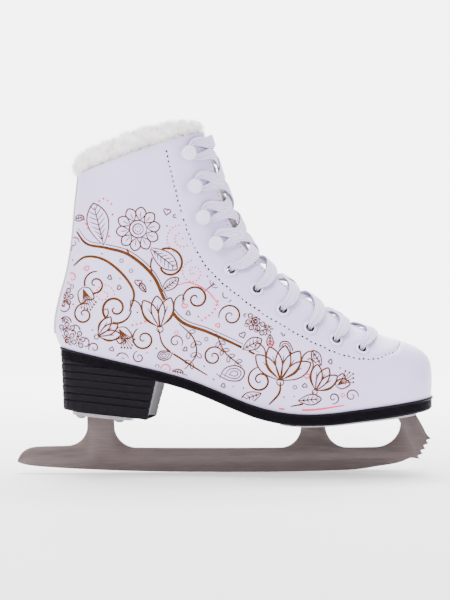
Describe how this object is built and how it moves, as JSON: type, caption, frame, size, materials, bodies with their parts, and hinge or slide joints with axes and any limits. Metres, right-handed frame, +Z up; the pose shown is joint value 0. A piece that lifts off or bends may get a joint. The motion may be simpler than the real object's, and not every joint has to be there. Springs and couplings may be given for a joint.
{
  "type": "figure skate",
  "caption": "White lace-up figure skate for the right foot: padded boot with a fur collar and a heel, on a steel toe-pick blade.",
  "frame": {"origin": "on the ice under the middle of the skate's length, on the blade's centre plane, at the lowest point of the blade's edge", "axes": "+X towards the toe, +Y towards the inner side of the foot, +Z up"},
  "size_m": [0.2946, 0.0878, 0.2464],
  "materials": {
    "white_leather": "satin, fine grain",
    "beige_trim": "satin",
    "fur": "deep pile",
    "fleece": "brushed pile",
    "lace": "flat weave",
    "lace_tip": "clear",
    "white_enamel": "semi-gloss",
    "sole_rubber": "satin, moulded ridges",
    "stiffener": "matte",
    "board": "matte",
    "blade_steel": "brushed along its length",
    "plated_steel": "bright plated"
  },
  "bodies": {
    "boot": {"aglet_a": "lace_tip", "aglet_b": "lace_tip", "backstay": "beige_trim", "blade_runner": "blade_steel", "eyelet_inner_1": "white_enamel", "eyelet_inner_2": "white_enamel", "eyelet_inner_3": "white_enamel", "eyelet_inner_4": "white_enamel", "eyelet_inner_5": "white_enamel", "eyelet_inner_6": "white_enamel", "eyelet_outer_1": "white_enamel", "eyelet_outer_2": "white_enamel", "eyelet_outer_3": "white_enamel", "eyelet_outer_4": "white_enamel", "eyelet_outer_5": "white_enamel", "eyelet_outer_6": "white_enamel", "facing_backing": "stiffener", "footbed": "fleece", "fur_collar": "fur", "heel_block": "sole_rubber", "heel_counter": "stiffener", "heel_plate": "plated_steel", "heel_screw_inner_1": "plated_steel", "heel_screw_inner_2": "plated_steel", "heel_screw_outer_1": "plated_steel", "heel_screw_outer_2": "plated_steel", "hook_inner_1": "white_enamel", "hook_inner_2": "white_enamel", "hook_inner_3": "white_enamel", "hook_inner_4": "white_enamel", "hook_outer_1": "white_enamel", "hook_outer_2": "white_enamel", "hook_outer_3": "white_enamel", "hook_outer_4": "white_enamel", "lace": "lace", "lasting_board": "board", "lining": "fleece", "outsole": "sole_rubber", "shank": "plated_steel", "sole_plate": "plated_steel", "sole_screw_inner_1": "plated_steel", "sole_screw_inner_2": "plated_steel", "sole_screw_inner_3": "plated_steel", "sole_screw_outer_1": "plated_steel", "sole_screw_outer_2": "plated_steel", "sole_screw_outer_3": "plated_steel", "toe_puff": "stiffener", "upper_shell": "white_leather"},
    "tongue": {"tongue": "fleece"}
  },
  "joints": [
    {"name": "tongue_flex", "type": "hinge", "parent": "boot", "child": "tongue", "pos_m": [0.1035, 0, 0.088], "axis": [0, -1, 0], "range_deg": [0, 12], "stiffness_Nm_per_rad": 1, "springref_deg": -5.73}
  ]
}
